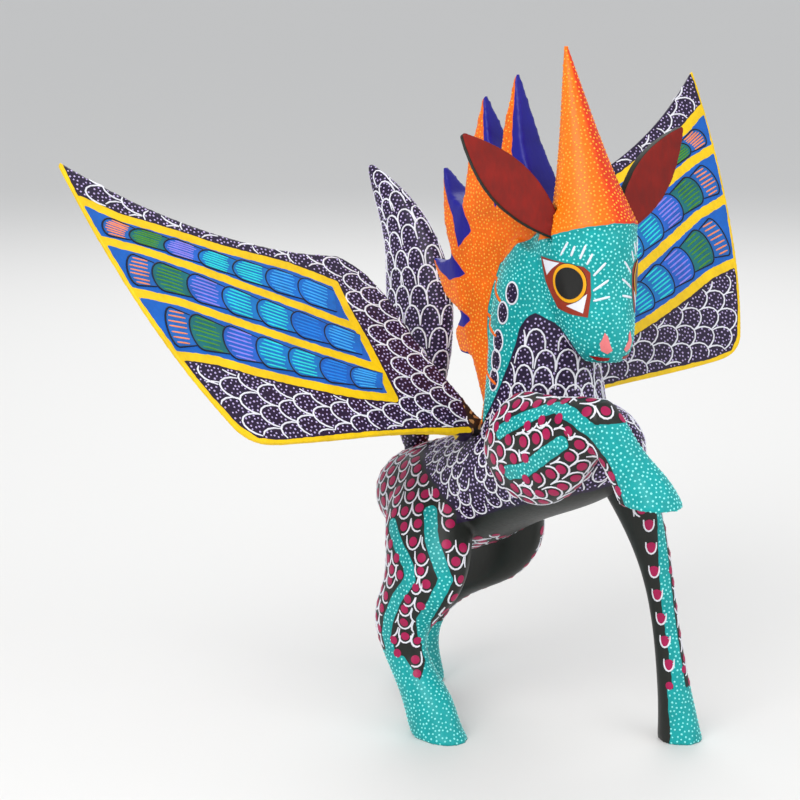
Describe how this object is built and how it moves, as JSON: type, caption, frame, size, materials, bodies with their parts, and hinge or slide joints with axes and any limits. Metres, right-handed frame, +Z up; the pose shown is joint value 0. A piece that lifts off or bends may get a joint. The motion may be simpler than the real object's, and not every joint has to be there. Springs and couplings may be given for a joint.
{
  "type": "alebrije figure",
  "caption": "Hand-carved and painted wooden winged horned horse standing on three legs, with plug-in wings, ears and tail.",
  "frame": {"origin": "middle of the bottom of the bounding box, on the surface it stands on", "axes": "+X is the horse's forward, +Y its left, +Z up"},
  "size_m": [0.1418, 0.2076, 0.1862],
  "materials": {
    "body": "satin acrylic paint",
    "raised_foreleg": "satin acrylic paint",
    "foreleg_dowel": "bare wood",
    "right_wing": "satin acrylic paint",
    "left_wing": "satin acrylic paint",
    "right_ear": "satin acrylic paint",
    "left_ear": "satin acrylic paint",
    "tail": "satin acrylic paint"
  },
  "bodies": {
    "figure": {"body": "body", "raised_foreleg": "raised_foreleg", "foreleg_dowel": "foreleg_dowel"},
    "right_wing": {"right_wing": "right_wing"},
    "left_wing": {"left_wing": "left_wing"},
    "right_ear": {"right_ear": "right_ear"},
    "left_ear": {"left_ear": "left_ear"},
    "tail": {"tail": "tail"}
  },
  "joints": [
    {"name": "right_wing_pull", "type": "slide", "parent": "figure", "child": "right_wing", "axis": [-0.1813, -0.9511, 0.25], "range_m": [0, 0.012]},
    {"name": "left_wing_pull", "type": "slide", "parent": "figure", "child": "left_wing", "axis": [0.0599, 0.9522, 0.2996], "range_m": [0, 0.012]},
    {"name": "right_ear_pull", "type": "slide", "parent": "figure", "child": "right_ear", "axis": [-0.5008, -0.4877, 0.7151], "range_m": [0, 0.011]},
    {"name": "left_ear_pull", "type": "slide", "parent": "figure", "child": "left_ear", "axis": [-0.0426, 0.71, 0.7029], "range_m": [0, 0.011]},
    {"name": "tail_pull", "type": "slide", "parent": "figure", "child": "tail", "axis": [-0.2005, 0.1203, 0.9723], "range_m": [0, 0.012]}
  ]
}
